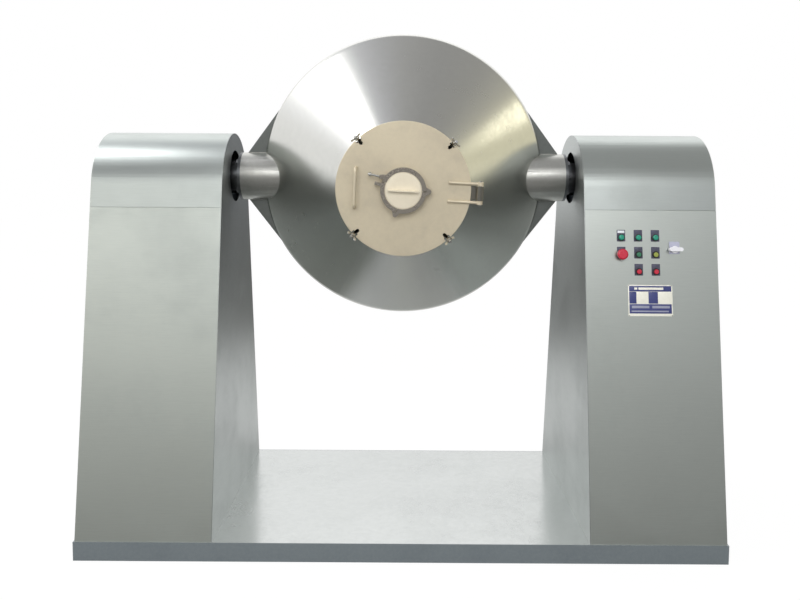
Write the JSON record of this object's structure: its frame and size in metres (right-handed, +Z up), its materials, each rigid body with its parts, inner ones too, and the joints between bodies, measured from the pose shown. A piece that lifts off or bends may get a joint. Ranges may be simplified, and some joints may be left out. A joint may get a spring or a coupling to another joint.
{
  "type": "double cone mixer",
  "caption": "Tumbling powder mixer: a double cone vessel on trunnions between two tapered stands on a low base, with a hinged charging lid and a discharge valve.",
  "frame": {"origin": "on the floor under the middle of the vessel", "axes": "+X along the trunnion axis towards the drive stand, -Y towards the operator and the charging mouth, +Z up"},
  "size_m": [2.56, 1.2293, 2.1114],
  "materials": {
    "satin_stainless": "satin brushed stainless sheet",
    "bright_stainless": "bright polished stainless",
    "vessel_stainless": "polished stainless vessel plate",
    "dark_base": "dark blue-grey paint on the base",
    "steel_fasteners": "plain stainless fasteners and pins",
    "dark_steel": "dark machined steel",
    "grey_castings": "grey enamel on castings",
    "drive_paint": "blue-grey machine enamel",
    "fan_plastic": "black fan plastic",
    "enclosure_plastic": "light grey enclosure plastic",
    "gland_plastic": "black polyamide gland",
    "gasket_rubber": "off-white silicone gasket",
    "control_metal": "dark control bezels and bodies",
    "legend_sheet": "dark anodised legend plates",
    "lamp_plastic": "green lamp lenses",
    "green_plastic": "dark green cap",
    "lime_plastic": "yellow-green cap",
    "red_plastic": "red cap",
    "switch_plastic": "off-white switch handle"
  },
  "bodies": {
    "stands": {"base_frame": "dark_base", "base_deck": "bright_stainless", "left_panels": "satin_stainless", "right_panels": "satin_stainless", "left_inner_side": "bright_stainless", "right_inner_side": "bright_stainless", "left_outer_side": "satin_stainless", "right_outer_side": "satin_stainless", "left_hood": "satin_stainless", "right_hood": "satin_stainless", "service_cover": "satin_stainless", "frame_bolts": "steel_fasteners", "bearing_pedestals": "dark_base", "bearings": "grey_castings", "gear_reducer": "drive_paint", "drive_motor": "drive_paint", "electric_box": "enclosure_plastic", "cable_gland": "gland_plastic", "control_bodies": "control_metal", "legend_plates": "legend_sheet", "lamp_lenses": "lamp_plastic"},
    "fan": {"motor_fan": "fan_plastic"},
    "vessel": {"vessel_belt": "vessel_stainless", "vessel_front_cone": "vessel_stainless", "vessel_rear_cone": "vessel_stainless", "vessel_mouth": "vessel_stainless", "pivot_pins": "steel_fasteners", "mouth_gasket": "gasket_rubber", "left_hub": "vessel_stainless", "right_hub": "vessel_stainless", "hub_gussets": "vessel_stainless", "left_shaft": "dark_steel", "right_shaft": "dark_steel", "shaft_bolts": "dark_steel", "valve_body": "vessel_stainless", "outlet_spigot": "vessel_stainless"},
    "lid": {"lid": "vessel_stainless", "hinge_arms": "vessel_stainless", "lid_handle": "vessel_stainless", "port_cap": "vessel_stainless", "clamp_segment_a": "vessel_stainless"},
    "clamp_right": {"clamp_segment_b": "vessel_stainless"},
    "clamp_left": {"clamp_segment_c": "vessel_stainless"},
    "clamp_bolt": {"clamp_bolt": "steel_fasteners"},
    "valve": {"valve_disc": "vessel_stainless", "valve_lever": "vessel_stainless"},
    "emergency_stop": {"stop_mushroom": "red_plastic"},
    "main_switch": {"switch_handle": "switch_plastic"},
    "bolt_1": {"swing_bolt_1": "steel_fasteners"},
    "nut_1": {"wing_nut_1": "steel_fasteners"},
    "bolt_2": {"swing_bolt_2": "steel_fasteners"},
    "nut_2": {"wing_nut_2": "steel_fasteners"},
    "bolt_3": {"swing_bolt_3": "steel_fasteners"},
    "nut_3": {"wing_nut_3": "steel_fasteners"},
    "bolt_4": {"swing_bolt_4": "steel_fasteners"},
    "nut_4": {"wing_nut_4": "steel_fasteners"},
    "start": {"start_button": "green_plastic"},
    "jog": {"jog_button": "lime_plastic"},
    "stop": {"stop_button": "red_plastic"},
    "reset": {"reset_button": "red_plastic"}
  },
  "joints": [
    {"name": "vessel_turn", "type": "hinge", "parent": "stands", "child": "vessel", "pos_m": [0, 0, 1.502], "axis": [1, 0, 0], "continuous": true},
    {"name": "fan_turn", "type": "hinge", "parent": "stands", "child": "fan", "pos_m": [1.005, 0, 1], "axis": [0, 0, 1], "continuous": true},
    {"name": "lid_swing", "type": "hinge", "parent": "vessel", "child": "lid", "pos_m": [0.28972, -0.50286, 1.44176], "axis": [0.0436, -0.094, 0.9946], "range_deg": [0, 110]},
    {"name": "bolt_1_swing", "type": "hinge", "parent": "vessel", "child": "bolt_1", "pos_m": [0.17326, -0.45299, 1.61865], "axis": [-0.6756, -0.0694, 0.734], "range_deg": [-22.5, 67.5]},
    {"name": "nut_1_turn", "type": "hinge", "parent": "bolt_1", "child": "nut_1", "pos_m": [0.17326, -0.45299, 1.61865], "axis": [0.2821, -0.9441, 0.1704], "continuous": true},
    {"name": "bolt_2_swing", "type": "hinge", "parent": "vessel", "child": "bolt_2", "pos_m": [-0.15876, -0.45435, 1.63308], "axis": [-0.7373, 0.0636, -0.6726], "range_deg": [-22.5, 67.5]},
    {"name": "nut_2_turn", "type": "hinge", "parent": "bolt_2", "child": "nut_2", "pos_m": [-0.15876, -0.45435, 1.63308], "axis": [-0.2585, -0.9463, 0.1939], "continuous": true},
    {"name": "bolt_3_swing", "type": "hinge", "parent": "vessel", "child": "bolt_3", "pos_m": [-0.17326, -0.42311, 1.30253], "axis": [0.6756, 0.0694, -0.734], "range_deg": [-22.5, 67.5]},
    {"name": "nut_3_turn", "type": "hinge", "parent": "bolt_3", "child": "nut_3", "pos_m": [-0.17326, -0.42311, 1.30253], "axis": [-0.2821, -0.8954, -0.3443], "continuous": true},
    {"name": "bolt_4_swing", "type": "hinge", "parent": "vessel", "child": "bolt_4", "pos_m": [0.15876, -0.42174, 1.2881], "axis": [0.7373, -0.0636, 0.6726], "range_deg": [-22.5, 67.5]},
    {"name": "nut_4_turn", "type": "hinge", "parent": "bolt_4", "child": "nut_4", "pos_m": [0.15876, -0.42174, 1.2881], "axis": [0.2585, -0.8932, -0.3678], "continuous": true},
    {"name": "clamp_right_swing", "type": "hinge", "parent": "lid", "child": "clamp_right", "pos_m": [0.09691, -0.53053, 1.4476], "axis": [0, 0.9956, 0.0941], "range_deg": [0, 60]},
    {"name": "clamp_left_swing", "type": "hinge", "parent": "lid", "child": "clamp_left", "pos_m": [-0.03078, -0.52228, 1.36023], "axis": [0, -0.9956, -0.0941], "range_deg": [0, 25]},
    {"name": "clamp_bolt_swing", "type": "hinge", "parent": "clamp_right", "child": "clamp_bolt", "pos_m": [-0.08271, -0.5357, 1.50227], "axis": [0, -0.9956, -0.0941], "range_deg": [-10, 80]},
    {"name": "valve_turn", "type": "hinge", "parent": "vessel", "child": "valve", "pos_m": [0, 0.57465, 1.55632], "axis": [-1, 0, 0], "range_deg": [0, 90]},
    {"name": "start_press", "type": "slide", "parent": "stands", "child": "start", "axis": [0, 0.9853, -0.1711], "range_m": [0, 0.004], "stiffness_N_per_m": 600, "springref_m": -0.002},
    {"name": "jog_press", "type": "slide", "parent": "stands", "child": "jog", "axis": [0, 0.9853, -0.1711], "range_m": [0, 0.004], "stiffness_N_per_m": 600, "springref_m": -0.002},
    {"name": "stop_press", "type": "slide", "parent": "stands", "child": "stop", "axis": [0, 0.9853, -0.1711], "range_m": [0, 0.004], "stiffness_N_per_m": 600, "springref_m": -0.002},
    {"name": "reset_press", "type": "slide", "parent": "stands", "child": "reset", "axis": [0, 0.9853, -0.1711], "range_m": [0, 0.004], "stiffness_N_per_m": 600, "springref_m": -0.002},
    {"name": "emergency_stop_press", "type": "slide", "parent": "stands", "child": "emergency_stop", "axis": [0, 0.9853, -0.1711], "range_m": [0, 0.005]},
    {"name": "switch_turn", "type": "hinge", "parent": "stands", "child": "main_switch", "pos_m": [1.1, -0.30526, 1.21396], "axis": [0, 0.9853, -0.1711], "range_deg": [0, 90]}
  ],
  "couplings": [
    {"joint": "fan_turn", "follows": "vessel_turn", "ratio": 60}
  ]
}
